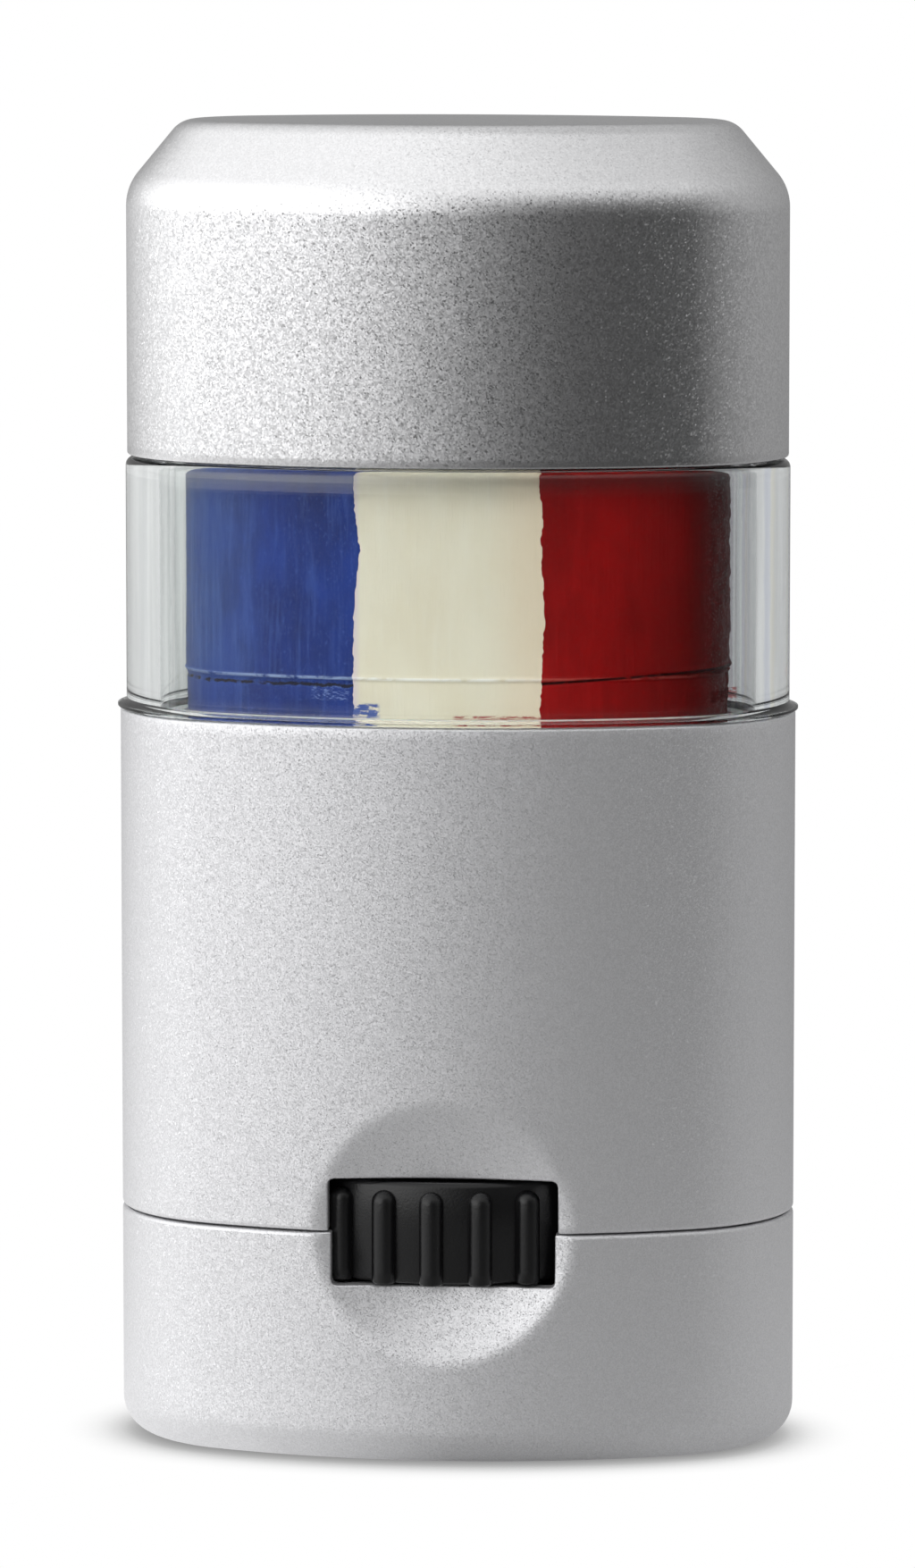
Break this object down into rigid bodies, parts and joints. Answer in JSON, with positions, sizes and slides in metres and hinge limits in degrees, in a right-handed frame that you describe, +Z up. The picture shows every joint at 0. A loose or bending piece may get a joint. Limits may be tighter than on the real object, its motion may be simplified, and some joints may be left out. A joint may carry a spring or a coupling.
{
  "type": "body paint stick",
  "caption": "Flat oval push-up paint stick with a ribbed side wheel, a lead screw, coloured paint strips and a lift-off clear cap with a silver cover.",
  "frame": {"origin": "centre of the flat underside, on the surface that the stick stands on", "axes": "+Z up along the stick, +X across its broad face to the right, +Y to its back"},
  "size_m": [0.0338, 0.0196, 0.0655],
  "materials": {
    "silver_case": "matt silver metallic plastic with fine flake",
    "silver_cover": "satin silver metallic lacquer with coarse flake",
    "natural_plastic": "uncoloured polypropylene",
    "black_plastic": "black moulded plastic with a soft sheen",
    "clear_plastic": "clear polished plastic",
    "blue_paint": "waxy blue body paint",
    "cream_paint": "waxy cream white body paint",
    "red_paint": "waxy red body paint"
  },
  "bodies": {
    "case": {"base_cover": "silver_case", "body_shell": "silver_case", "inner_barrel": "natural_plastic"},
    "wheel": {"thumbwheel": "black_plastic"},
    "stick": {"carrier": "natural_plastic", "paint_blue": "blue_paint", "paint_white": "cream_paint", "paint_red": "red_paint"},
    "cap": {"clear_hood": "clear_plastic", "cap_cover": "silver_cover"}
  },
  "joints": [
    {"name": "wheel_turn", "type": "hinge", "parent": "case", "child": "wheel", "pos_m": [0, 0, 0.0115], "axis": [0, 0, -1], "range_deg": [-240, 1080]},
    {"name": "carrier_rise", "type": "slide", "parent": "case", "child": "stick", "axis": [0, 0, 1], "range_m": [-0.002, 0.009]},
    {"name": "cap_lift", "type": "slide", "parent": "case", "child": "cap", "axis": [0, 0, 1], "range_m": [0, 0.035]}
  ],
  "couplings": [
    {"joint": "wheel_turn", "follows": "carrier_rise", "rad_per_m": 2094.4}
  ]
}
